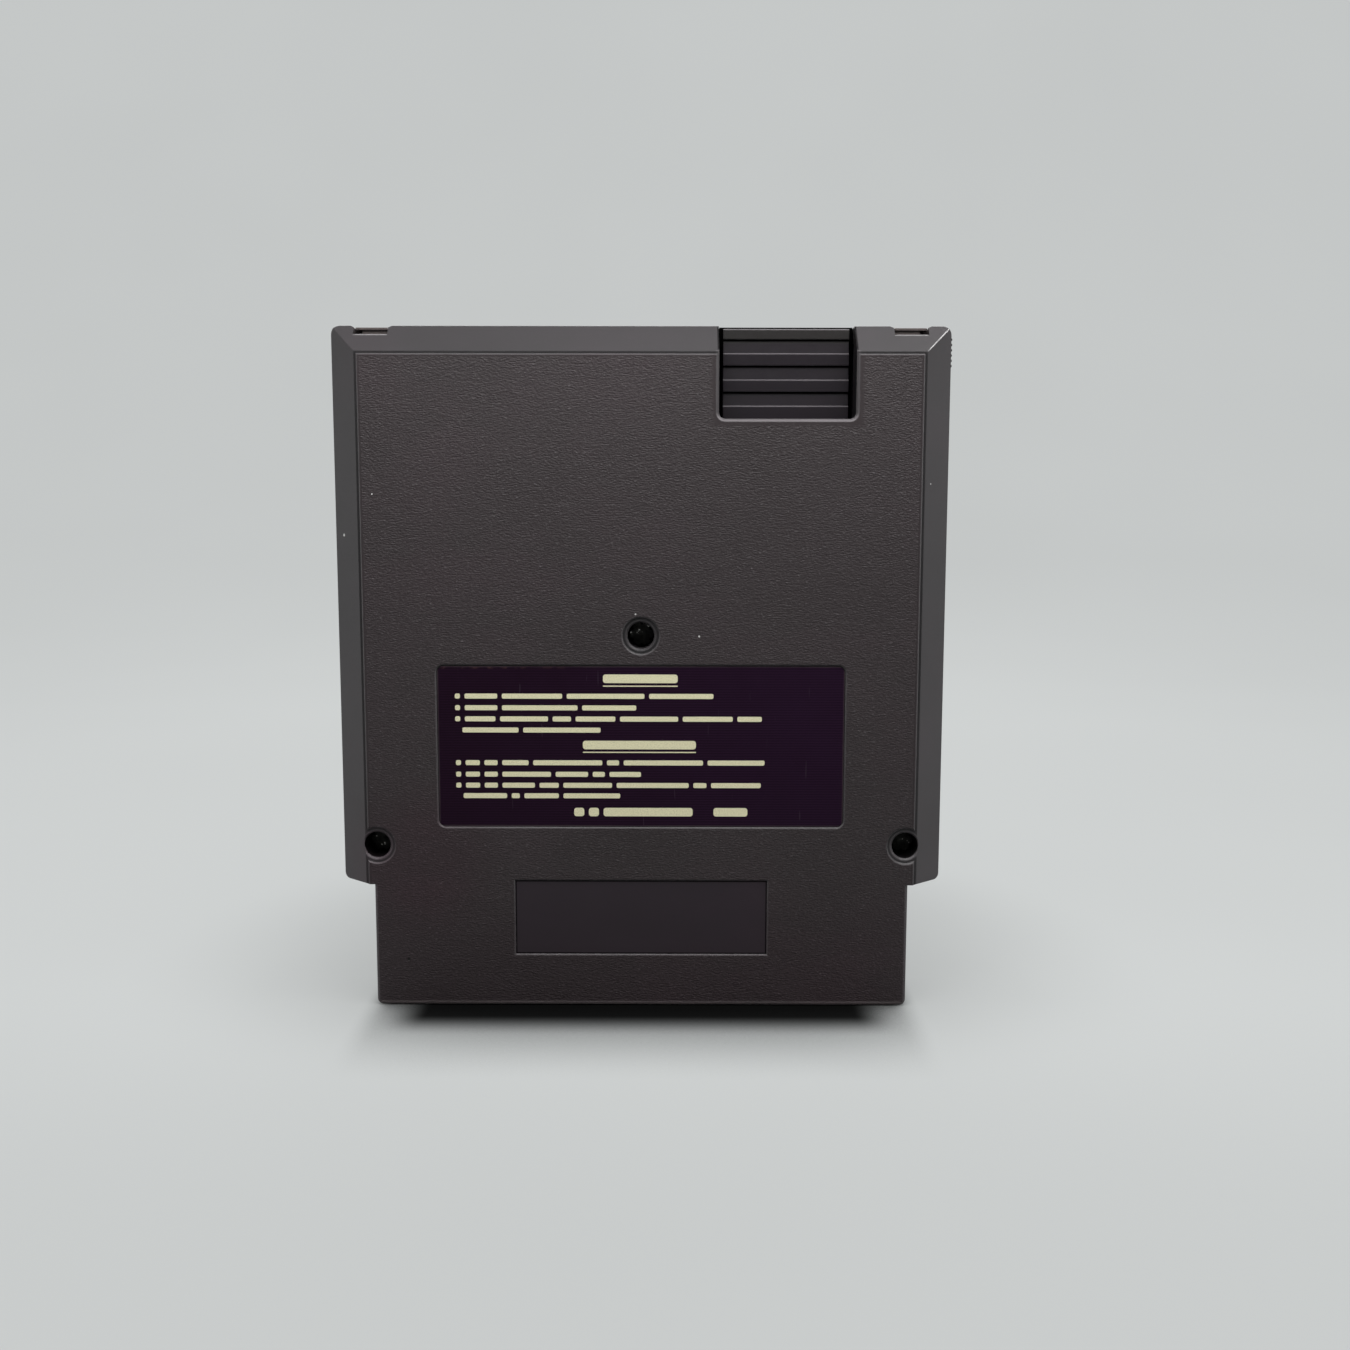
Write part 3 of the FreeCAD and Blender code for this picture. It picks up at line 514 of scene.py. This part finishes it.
# label: dark film with a faint line screen, lighter and more violet to the right as a painted sheen, worn at
# its upper left
labelFilm = {
    "deep": (0.0082, 0.0018, 0.0074),
    "violet": (0.0146, 0.0050, 0.0166),
    "scratch": (0.060, 0.044, 0.060),
    "worn": (0.070, 0.034, 0.036),
    "edge": (0.042, 0.030, 0.036),
    "stops": (0.15, 0.8),
    "side": (0.1, 0.75),
    "sideAndClouds": (0.6, 0.4),
    "clouds": {"scale": 70.0, "detail": 4.0, "roughness": 0.6},
    "screen": {"Scale": 620.0, "Distortion": 0.6, "Detail": 2.0},
    "screenLevels": (0.2, 0.8, 0.74, 1.26),
    # fine slanted scratches
    "slant": 0.55,
    "scratchPull": (14.0, 1.0, 1.0),
    "scratches": {"scale": 130.0, "detail": 2.0, "roughness": 0.4},
    "scratchRange": (0.70, 0.76),
    "scratchShare": 0.30,
    # rubbed top rim: distance from the top, and from the left where it ends
    "rimFromTop": (0.0007, 0.0001),
    "rimFromLeft": (0.036, 0.004),
    "rimPatches": {"scale": 900.0},
    "rimRange": (0.42, 0.62),
    "edgeWidth": (0.00026, 0.00014),
    "edgePatches": (0.3, 0.6, 0.45, 1.0),
    "screenBump": (0.10, 0.000015),
    "grit": {"scale": 1500.0, "detail": 2.0},
    "gritBump": (0.10, 0.00002),
    "smears": {"scale": 240.0, "detail": 4.0},
    "rough": (0.3, 0.7, 0.36, 0.50),
    "specular": 0.07,
}


def labelMaterial():
    material, tree, shader, coords = newMaterial("darkLabelFilm")
    low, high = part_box("rear_label")
    film = labelFilm
    axes = splitAxes(tree, coords)
    x, z = axes["X"], axes["Z"]
    screen = addNode(tree, "TexWave", {"wave_type": "BANDS", "bands_direction": "Z"}, Vector=coords,
                     **film["screen"]).outputs["Fac"]
    clouds = noise(tree, coords, **film["clouds"])
    # the film painted lighter and more violet to the right, a painted sheen
    shade = weigh(tree, fade(tree, x, low.x, high.x, *film["side"]), clouds, film["sideAndClouds"])
    tone = tones(tree, shade, film["stops"], (film["deep"], film["violet"]))
    tone = times(tree, tone, fade(tree, screen, *film["screenLevels"]))
    slanted = stretch(tree, coords, film["scratchPull"], (0.0, film["slant"], 0.0))
    scratch = fade(tree, noise(tree, slanted, **film["scratches"]), *film["scratchRange"])
    tone = blendColour(tree, calc(tree, "MULTIPLY", scratch, film["scratchShare"]), tone, film["scratch"])
    fromLeft = calc(tree, "SUBTRACT", x, low.x)
    fromTop = calc(tree, "SUBTRACT", high.z, z)
    rim = product(tree, fade(tree, fromTop, *film["rimFromTop"]), fade(tree, fromLeft, *film["rimFromLeft"]),
                  fade(tree, noise(tree, coords, **film["rimPatches"]), *film["rimRange"]))
    tone = blendColour(tree, rim, tone, film["worn"])
    fromRight = calc(tree, "SUBTRACT", high.x, x)
    fromFoot = calc(tree, "SUBTRACT", z, low.z)
    fromEdge = lowest(tree, fromLeft, fromRight, fromTop, fromFoot)
    edge = product(tree, fade(tree, fromEdge, *film["edgeWidth"]), fade(tree, clouds, *film["edgePatches"]))
    tone = blendColour(tree, edge, tone, film["edge"])
    normal = bump(tree, screen, *film["screenBump"])
    normal = bump(tree, noise(tree, coords, **film["grit"]), *film["gritBump"], normal)
    rough = fade(tree, noise(tree, coords, **film["smears"]), *film["rough"])
    connect(tree, shader, Base_Color=tone, Roughness=rough, Normal=normal,
            Specular_IOR_Level=film["specular"])
    return material


# metals: plated screws, tinned leads and gold contacts share one graph
metals = {
    # the screws are painted near black, shade deep in their holes, with painted glints
    "shadedZinc": {"dark": (0.004, 0.004, 0.004), "light": (0.012, 0.012, 0.011), "glint": (0.50, 0.49, 0.47),
                 "rough": (0.58, 0.34), "stains": 770.0, "scratches": 5500.0},
    "tinnedWire": {"dark": (0.36, 0.36, 0.35), "light": (0.62, 0.62, 0.60), "glint": (0.74, 0.74, 0.72),
                   "rough": (0.48, 0.24), "stains": 490.0, "scratches": 3500.0},
    "thinGold": {"dark": (0.52, 0.33, 0.11), "light": (0.80, 0.58, 0.22), "glint": (0.88, 0.70, 0.36),
                 "rough": (0.44, 0.20), "stains": 245.0, "scratches": 1750.0},
}
metalGraph = {"stops": (0.3, 0.64, 0.72), "stainDetail": 4.0, "stainRoughness": 0.65,
              "stainRange": (0.25, 0.75), "scratchPull": (6.0, 6.0, 0.25), "scratchDetail": 2.0,
              "bump": (0.18, 0.00001)}


def metalMaterial(name):
    look, graph = metals[name], metalGraph
    material, tree, shader, coords = newMaterial(name)
    stains = noise(tree, coords, look["stains"], graph["stainDetail"], graph["stainRoughness"])
    drawn = stretch(tree, coords, graph["scratchPull"])
    scratches = noise(tree, drawn, look["scratches"], graph["scratchDetail"])
    tone = tones(tree, stains, graph["stops"], (look["dark"], look["light"], look["glint"]))
    rough = fade(tree, stains, *graph["stainRange"], *look["rough"])
    connect(tree, shader, Base_Color=tone, Metallic=1.0, Roughness=rough,
            Normal=bump(tree, scratches, *graph["bump"]))
    return material


# board: green mask over a faint glass weave, paler over its routed tracks
board = {
    "mask": (0.022, 0.085, 0.030),
    "track": (0.036, 0.125, 0.045),
    "weaveScale": 1300.0,
    "trackScale": 260.0,
    "trackPull": (1.0, 1.0, 0.35),
    "trackEdge": (0.30, 0.36),
    "patches": {"scale": 90.0},
    "patchLevels": (0.3, 0.7, 0.85, 1.12),
    "weaveBump": (0.06, 0.00001),
    "trackBump": (0.25, 0.00002),
    "rough": (0.32, 0.38),
}


def boardMaterial():
    material, tree, shader, coords = newMaterial("greenLaminate")
    weave = addNode(tree, "TexChecker", None, Vector=coords, Scale=board["weaveScale"]).outputs["Fac"]
    drawn = stretch(tree, coords, board["trackPull"])
    tracks = addNode(tree, "TexVoronoi", {"feature": "F1", "distance": "CHEBYCHEV"}, Vector=drawn,
                     Scale=board["trackScale"]).outputs["Distance"]
    routed = fade(tree, tracks, *board["trackEdge"])
    tone = blendColour(tree, routed, board["mask"], board["track"])
    tone = times(tree, tone, fade(tree, noise(tree, coords, **board["patches"]), *board["patchLevels"]))
    normal = bump(tree, weave, *board["weaveBump"])
    normal = bump(tree, routed, *board["trackBump"], normal)
    rough = fade(tree, weave, 0.0, 1.0, *board["rough"])
    connect(tree, shader, Base_Color=tone, Roughness=rough, Normal=normal)
    return material


# moulded and dipped bodies of the small components
bodies = {
    "chipEpoxy": {"dark": (0.008, 0.008, 0.009), "light": (0.020, 0.020, 0.022), "rough": (0.62, 0.50),
                  "scale": 3800.0, "depth": 0.00002},
    "sleeveBlue": {"dark": (0.006, 0.012, 0.060), "light": (0.012, 0.022, 0.100), "rough": (0.37, 0.25),
                   "scale": 900.0, "depth": 0.00001},
    "bungRubber": {"dark": (0.008, 0.008, 0.008), "light": (0.018, 0.018, 0.018), "rough": (0.82, 0.70),
                   "scale": 2600.0, "depth": 0.00002},
    "dippedAmber": {"dark": (0.30, 0.13, 0.025), "light": (0.48, 0.24, 0.060), "rough": (0.35, 0.23),
                    "scale": 800.0, "depth": 0.00003},
    "lacquerTan": {"dark": (0.40, 0.29, 0.15), "light": (0.56, 0.43, 0.25), "rough": (0.41, 0.29),
                   "scale": 1200.0, "depth": 0.00002},
}
bodyGraph = {"stops": (0.3, 0.7), "roughRange": (0.2, 0.8), "bump": 0.25}


def bodyMaterial(name):
    look = bodies[name]
    material, tree, shader, coords = newMaterial(name)
    texture = noise(tree, coords, look["scale"])
    tone = tones(tree, texture, bodyGraph["stops"], (look["dark"], look["light"]))
    rough = fade(tree, texture, *bodyGraph["roughRange"], *look["rough"])
    normal = bump(tree, texture, bodyGraph["bump"], look["depth"])
    connect(tree, shader, Base_Color=tone, Roughness=rough, Normal=normal)
    return material


def dress(material, *names):
    for name in names:
        slots = nodes[name].data.materials
        slots.clear()
        slots.append(material)


dress(caseMaterial(), "rear_shell", "front_shell")
dress(labelMaterial(), "rear_label")
dress(metalMaterial("shadedZinc"), "case_screws")
dress(boardMaterial(), "circuit_board")
dress(metalMaterial("thinGold"), "rear_edge_contacts", "front_edge_contacts")
dress(bodyMaterial("chipEpoxy"), "program_rom_body", "graphics_rom_body", "lockout_chip_body")
dress(metalMaterial("tinnedWire"), "program_rom_leads", "graphics_rom_leads", "lockout_chip_leads",
      "electrolytic_leads", "ceramic_capacitor_leads", "resistor_leads")
dress(bodyMaterial("sleeveBlue"), "electrolytic_capacitor")
dress(bodyMaterial("bungRubber"), "electrolytic_bung")
dress(bodyMaterial("dippedAmber"), "ceramic_capacitor_bodies")
dress(bodyMaterial("lacquerTan"), "resistor_bodies")
print("materials on", len(nodes), "nodes")


def makePiece(name, mesh, material):
    data = bpy.data.meshes.new(name)
    mesh.to_mesh(data)
    mesh.free()
    piece = bpy.data.objects.new(name, data)
    scene.collection.objects.link(piece)
    data.materials.append(material)
    return piece


# print on the label: rows of plain cream bars under two wider underlined ones, lengths in mm
printBars = {
    "thickness": 0.03,
    "lift": 0.005,
    "gap": 0.9,
    "cornerShare": 0.3,
    "cornerSteps": 4,
    "heights": {"heads": 1.7, "rules": 0.22, "rows": 1.0},
    # (left, bottom, bar widths) from the label's lower left corner
    "heads": ((32.4, 28.5, (14.6,)),
              (28.4, 15.4, (22.2,)),
              (26.6, 2.0, (2.0, 2.0, 17.6)),
              (54.1, 2.0, (6.7,))),
    "rules": ((32.4, 27.8, (14.6,)),
              (28.4, 14.7, (22.2,))),
    "rows": ((3.4, 25.4, (1.0, 6.4, 11.8, 15.2, 12.6)),
             (3.4, 23.1, (1.0, 6.4, 14.8, 10.6)),
             (3.4, 20.9, (1.0, 6.0, 9.4, 3.6, 7.8, 11.4, 9.8, 4.8)),
             (4.8, 18.7, (11.0, 15.2)),
             (3.4, 12.2, (1.0, 2.8, 2.6, 5.2, 13.6, 2.4, 15.6, 11.2)),
             (3.4, 9.9, (1.0, 2.8, 2.6, 9.6, 6.4, 2.4, 6.2)),
             (3.4, 7.7, (1.0, 2.8, 2.6, 6.4, 3.8, 9.6, 14.2, 2.6, 9.8)),
             (4.8, 5.6, (8.6, 1.6, 6.8, 11.2))),
    # ink from thin to thick, by its speckle
    "inks": ((0.50, 0.47, 0.30), (0.74, 0.71, 0.47), (0.80, 0.77, 0.54)),
    "stops": (0.30, 0.50, 0.8),
    "speckle": {"scale": 5200.0, "detail": 3.0, "roughness": 0.6},
    "bump": (0.15, 0.00001),
    "rough": (0.3, 0.7, 0.42, 0.56),
}
mm = 0.001


def inkMaterial():
    material, tree, shader, coords = newMaterial("creamInk")
    speckle = noise(tree, coords, **printBars["speckle"])
    tone = tones(tree, speckle, printBars["stops"], printBars["inks"])
    connect(tree, shader, Base_Color=tone, Roughness=fade(tree, speckle, *printBars["rough"]),
            Normal=bump(tree, speckle, *printBars["bump"]))
    return material


# a thin bar with round corners, its back on the plane y = back
def addBar(mesh, x, z, width, height, back):
    corner = height * printBars["cornerShare"]
    steps = printBars["cornerSteps"]
    left, right = x + corner, x + width - corner
    bottom, top = z + corner, z + height - corner
    corners = ((right, bottom, -90), (right, top, 0), (left, top, 90), (left, bottom, 180))
    outline = []
    for cornerX, cornerZ, start in corners:
        for step in range(steps + 1):
            angle = math.radians(start + 90 * step / steps)
            outline.append((cornerX + corner * math.cos(angle), cornerZ + corner * math.sin(angle)))
    face = back - printBars["thickness"] * mm
    lower = [mesh.verts.new((px, back, pz)) for px, pz in outline]
    upper = [mesh.verts.new((px, face, pz)) for px, pz in outline]
    mesh.faces.new(list(reversed(lower)))
    mesh.faces.new(upper)
    for i in range(len(outline)):
        j = (i + 1) % len(outline)
        mesh.faces.new((lower[i], lower[j], upper[j], upper[i]))


def labelPrint():
    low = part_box("rear_label")[0]
    mesh = bmesh.new()
    back = low.y - printBars["lift"] * mm
    for kind, height in printBars["heights"].items():
        for left, bottom, widths in printBars[kind]:
            for width in widths:
                addBar(mesh, low.x + left * mm, low.z + bottom * mm, width * mm, height * mm, back)
                left += width + printBars["gap"]
    bmesh.ops.recalc_face_normals(mesh, faces=mesh.faces)
    piece = makePiece("label_print", mesh, inkMaterial())
    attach(piece, "root")


labelPrint()
print("label print placed")

# floor that rolls up into a pale backdrop
sweep = {
    "tone": (0.612, 0.632, 0.629),
    "bounce": (0.22, 0.224, 0.222),
    "glow": 0.90,
    "rough": 0.9,
    "specular": 0.1,
    "clouds": {"scale": 3.0, "detail": 2.0},
    "stops": (0.3, 0.7),
    "levels": (0.985, 1.01),
    "half": 8.0,
    "near": -8.0,
    "bendStart": 0.55,
    "bendRadius": 0.9,
    "bendSteps": 16,
    "top": 2.6,
    # contact shade: reach, samples and range of openness, how far from the middle it is looked for
    "contact": 0.036,
    "contactSamples": 10,
    "openness": (0.50, 1.0),
    "shadeReach": 0.20,
    # share of the contact shade left beside the base, and where that begins and ends
    "besideShare": 0.12,
    "beside": (0.050, 0.056),
    # painted shadow: a dark line along the base on the viewer's side: its depths, its ends and its tone
    "underDepth": (-0.0245, -0.0140),
    "underEnds": (0.0510, 0.0420),
    "underTone": 0.03,
    # wide faint shade: its middle, radii and darkest tone, and the depths over which it begins
    "wideMiddle": (0.0, 0.03, 0.0),
    "wideRadii": (0.050, 0.115),
    "wideTone": 0.79,
    "wideDepth": (-0.045, 0.002),
    # the floor is painted a little darker towards the viewer, a painted shade
    "frontDepth": (0.010, -0.100),
    "frontTone": 0.92,
}


def floorShade(tree, y, across, away):
    openness = addNode(tree, "AmbientOcclusion", {"samples": sweep["contactSamples"]},
                       Distance=sweep["contact"]).outputs["AO"]
    contact = mixValue(tree, fade(tree, across, *sweep["beside"], 1.0, sweep["besideShare"]), 1.0,
                       fade(tree, openness, *sweep["openness"], 0.0, 1.0, "LINEAR"))
    wide = mixValue(tree, fade(tree, y, *sweep["wideDepth"]), 1.0,
                    fade(tree, away, *sweep["wideRadii"], sweep["wideTone"], 1.0))
    return product(tree, contact, wide)


def sweepMaterial():
    material, tree, shader, coords = newMaterial("paleSweep")
    axes = splitAxes(tree, coords)
    across, y = calc(tree, "ABSOLUTE", axes["X"]), axes["Y"]
    away = distance(tree, coords, sweep["wideMiddle"])
    clouds = noise(tree, coords, **sweep["clouds"])
    tone = varied(tree, clouds, sweep["stops"], sweep["tone"], sweep["levels"])
    # painted shadow: a dark line on the floor along the base
    under = product(tree, fade(tree, y, *sweep["underDepth"]), calc(tree, "LESS_THAN", y, 0.0),
                    fade(tree, across, *sweep["underEnds"]))
    tone = darken(tree, tone, under, sweep["underTone"], "LINEAR")
    connect(tree, shader, Base_Color=tone, Roughness=sweep["rough"], Specular_IOR_Level=sweep["specular"])
    # seen and mirrored, the sheet is mostly its own pale tone; only the floor near the object is shaded
    # painted shade: the floor darker towards the viewer
    floorTone = times(tree, tone, fade(tree, y, *sweep["frontDepth"], 1.0, sweep["frontTone"]))
    shadeTone = times(tree, floorTone, floorShade(tree, y, across, away))
    plain = addNode(tree, "Emission", None, Color=floorTone).outputs[0]
    shaded = addNode(tree, "Emission", None, Color=shadeTone).outputs[0]
    near = calc(tree, "LESS_THAN", away, sweep["shadeReach"])
    glow = addNode(tree, "MixShader", None, i0=near, i1=plain, i2=shaded).outputs[0]
    seen = addNode(tree, "MixShader", None, i0=sweep["glow"], i1=shader.outputs[0], i2=glow).outputs[0]
    lit = addNode(tree, "BsdfDiffuse", None, Color=sweep["bounce"]).outputs[0]
    both = addNode(tree, "MixShader", None, i0=lookingRays(tree), i1=lit, i2=seen).outputs[0]
    tree.links.new(both, tree.nodes["Material Output"].inputs["Surface"])
    return material


def buildSweep():
    mesh = bmesh.new()
    start, radius, steps = sweep["bendStart"], sweep["bendRadius"], sweep["bendSteps"]
    profile = [(sweep["near"], 0.0)]
    for step in range(steps + 1):
        angle = math.radians(90 * step / steps)
        profile.append((start + radius * math.sin(angle), radius * (1 - math.cos(angle))))
    profile.append((start + radius, sweep["top"]))
    rows = [[mesh.verts.new((side * sweep["half"], y, z)) for side in (-1, 1)] for y, z in profile]
    for (leftA, rightA), (leftB, rightB) in zip(rows, rows[1:]):
        mesh.faces.new((leftA, rightA, rightB, leftB))
    for face in mesh.faces:
        face.smooth = True
    makePiece("sweep", mesh, sweepMaterial())


buildSweep()

# soft boxes, sizes and places in metres
lamps = {
    "topBox": {"place": (0.035, -0.10, 0.26), "aim": (0.01, -0.01, 0.10), "size": (0.40, 0.12),
               "watts": 1.06},
    "leftBox": {"place": (-0.36, -0.03, 0.07), "aim": (0.0, 0.0, 0.05), "size": (0.24, 0.22),
                "watts": 0.145},
    "rightBox": {"place": (0.36, -0.03, 0.07), "aim": (0.0, 0.0, 0.05), "size": (0.24, 0.22),
                 "watts": 0.150},
    "rearBox": {"place": (0.0, 0.55, 0.50), "aim": (0.0, 0.0, 0.06), "size": (0.70, 0.50),
                "watts": 5.0},
}


def hangLamp(name, place, aim, size, watts):
    data = bpy.data.lights.new(name, "AREA")
    data.shape = "RECTANGLE"
    data.size, data.size_y = size
    data.energy = watts
    lamp = bpy.data.objects.new(name, data)
    lamp.location = place
    lamp.rotation_euler = (Vector(aim) - Vector(place)).to_track_quat("-Z", "Y").to_euler()
    lamp.visible_camera = False
    scene.collection.objects.link(lamp)


for lampName, lampValues in lamps.items():
    hangLamp(lampName, **lampValues)

# room: dim light all round, though it looks pale
room = {"tone": (0.95, 0.97, 0.98), "level": 0.10, "pale": (0.56, 0.58, 0.575)}


def lightRoom():
    world = bpy.data.worlds.new("paleRoom")
    world.use_nodes = True
    tree = world.node_tree
    dim = tree.nodes["Background"]
    connect(tree, dim, Color=room["tone"], Strength=room["level"])
    pale = addNode(tree, "Background", None, Color=room["pale"], Strength=1.0).outputs[0]
    both = addNode(tree, "MixShader", None, i0=lookingRays(tree), i1=dim.outputs[0], i2=pale).outputs[0]
    tree.links.new(both, tree.nodes["World Output"].inputs["Surface"])
    scene.world = world


lightRoom()

# camera solved from the outline: metres and degrees, focal length and frame in pixels, sensor in mm
view = {"place": (0.00725, -0.260383, 0.095055), "turn": (83.5868, -0.0914, 0.1424),
        "focal": 1300.0, "frame": 1350.0, "sensor": 36.0, "clipStart": 0.01}


def placeCamera():
    data = bpy.data.cameras.new("rearView")
    data.sensor_width = view["sensor"]
    data.lens = view["sensor"] * view["focal"] / view["frame"]
    data.clip_start = view["clipStart"]
    camera = bpy.data.objects.new("rearView", data)
    camera.location = view["place"]
    camera.rotation_euler = [math.radians(angle) for angle in view["turn"]]
    scene.collection.objects.link(camera)
    scene.camera = camera


placeCamera()
scene.view_settings.view_transform = "Standard"
print("stage, lamps and camera set")

bpy.context.view_layer.update()
